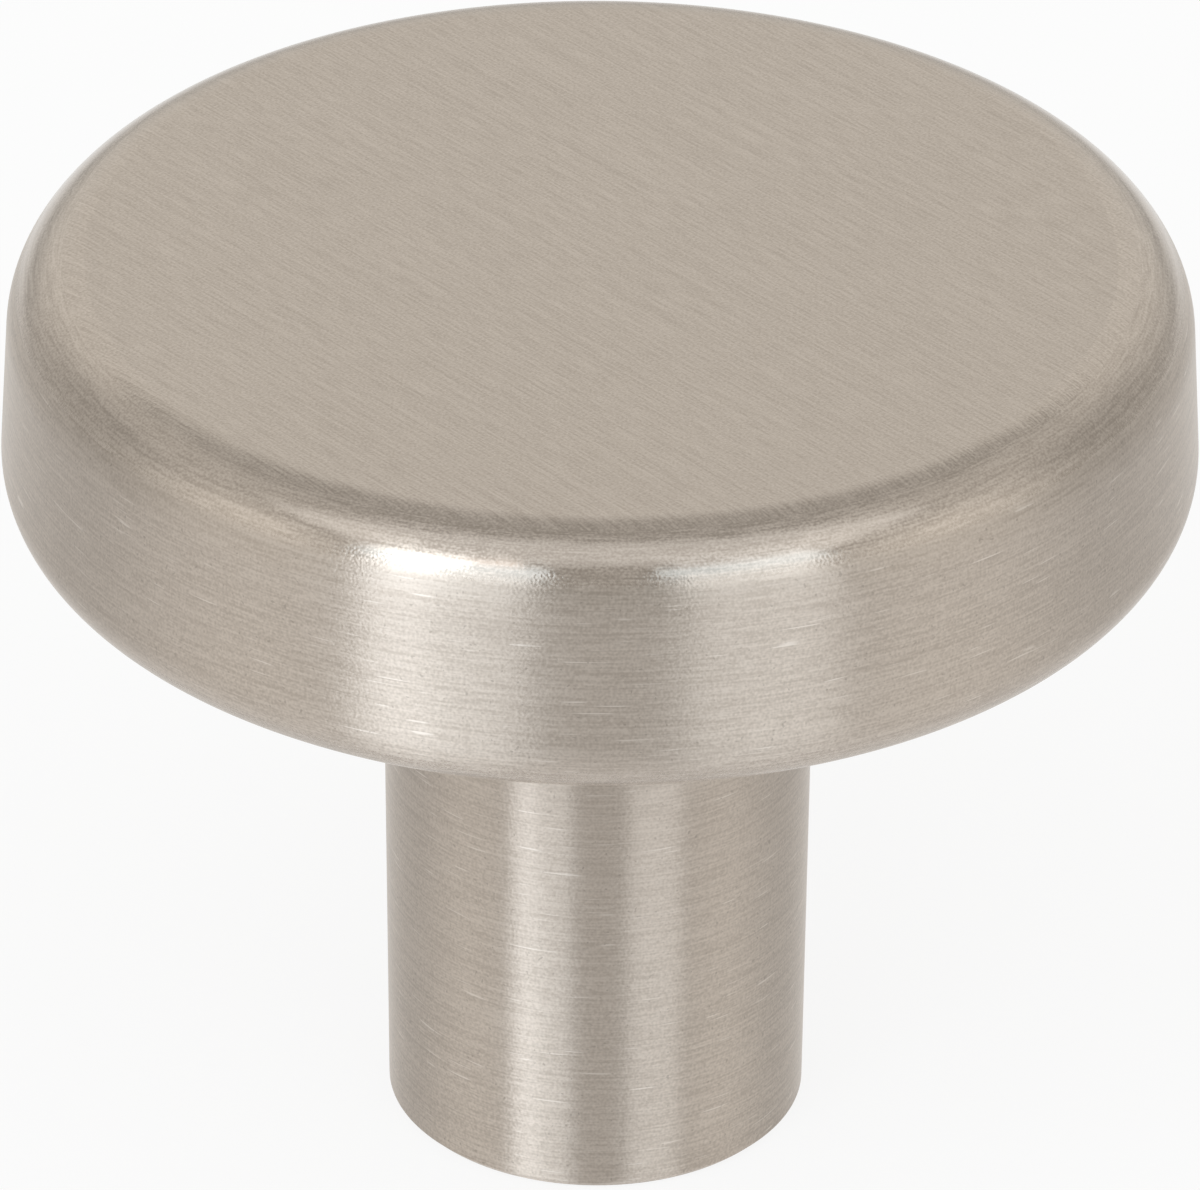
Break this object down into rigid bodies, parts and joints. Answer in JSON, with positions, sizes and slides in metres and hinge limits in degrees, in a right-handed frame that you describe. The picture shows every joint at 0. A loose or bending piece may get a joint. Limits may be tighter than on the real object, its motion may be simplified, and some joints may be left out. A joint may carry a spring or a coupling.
{
  "type": "cabinet knob",
  "caption": "Round cabinet knob with a flat disc head on a straight post, brushed satin nickel finish, with a tapped blind hole in the foot for a fixing screw.",
  "frame": {"origin": "centre of the mounting face at the foot of the post", "axes": "+Z along the post, from the mounting face to the flat front of the head; the knob is round about Z"},
  "size_m": [0.032, 0.032, 0.026],
  "materials": {
    "satin_nickel": "zinc alloy casting, brushed and plated in satin nickel"
  },
  "bodies": {
    "root": {"knob": "satin_nickel"}
  },
  "joints": []
}
